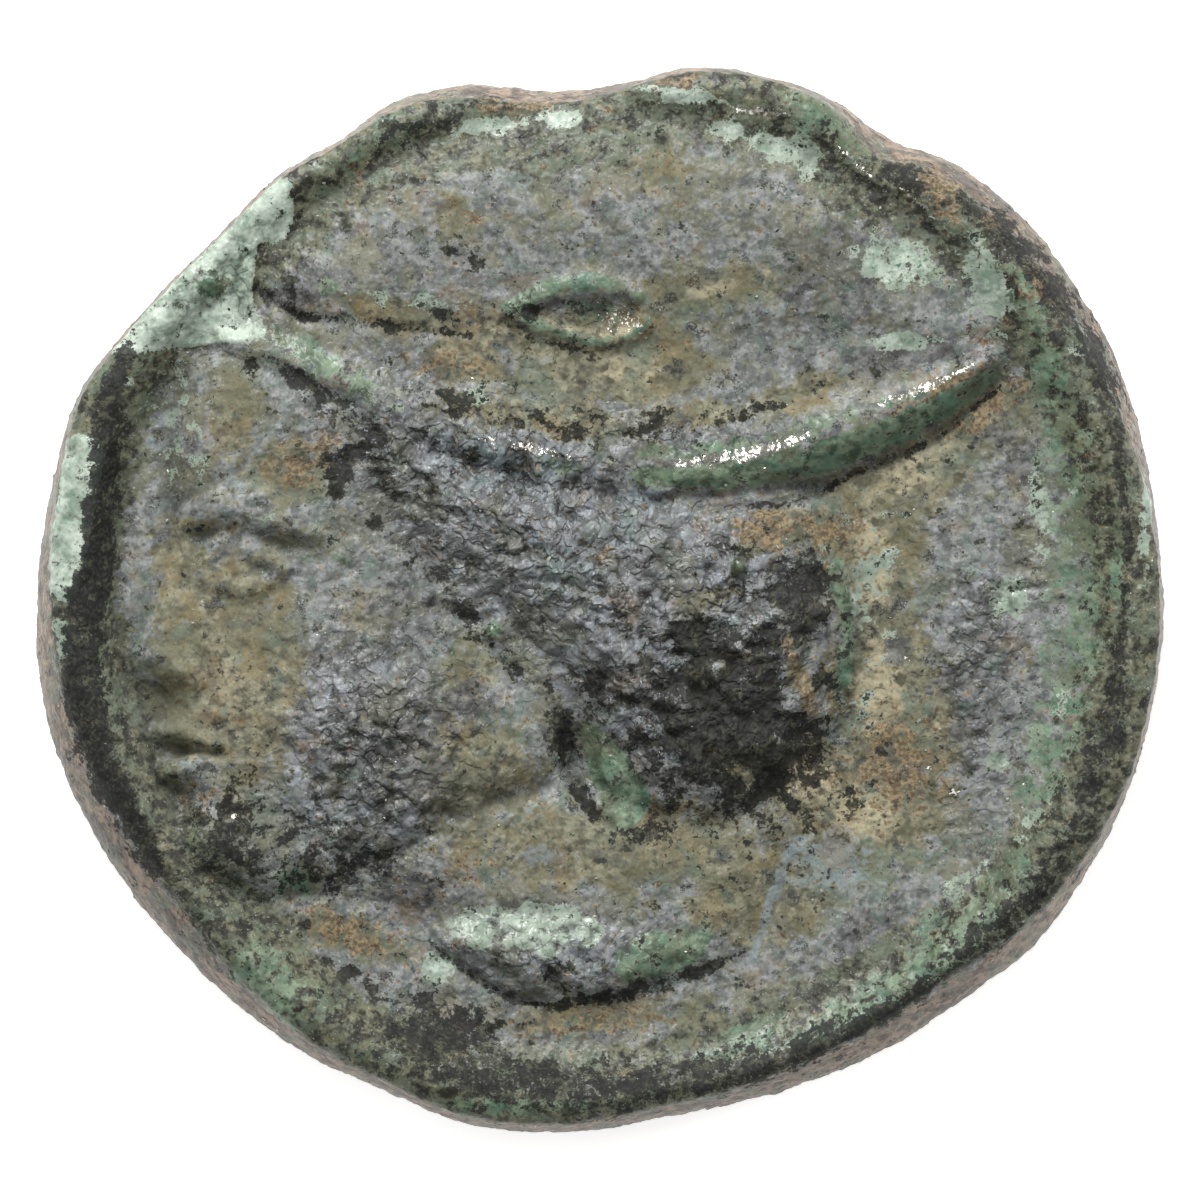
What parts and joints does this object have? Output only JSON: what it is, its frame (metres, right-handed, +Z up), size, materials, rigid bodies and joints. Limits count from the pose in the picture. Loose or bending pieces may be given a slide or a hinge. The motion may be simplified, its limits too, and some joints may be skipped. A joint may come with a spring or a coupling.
{
  "type": "ancient bronze coin",
  "caption": "Thick struck bronze coin on an uneven flan: worn head in a broad-brimmed helmet turned left, raised border, corroded green-grey skin",
  "frame": {"origin": "middle of the underside's box, on the surface that the coin lies on", "axes": "+Z up out of the struck side with the head, +Y to the top of the head, +X to the back of the head, the face looks to -X"},
  "size_m": [0.018, 0.017, 0.0032],
  "materials": {
    "patinated_bronze": "bronze under a rough, mottled skin of green, grey, tan and black corrosion, dull, with a few bright worn grains"
  },
  "bodies": {
    "root": {"coin": "patinated_bronze"}
  },
  "joints": []
}
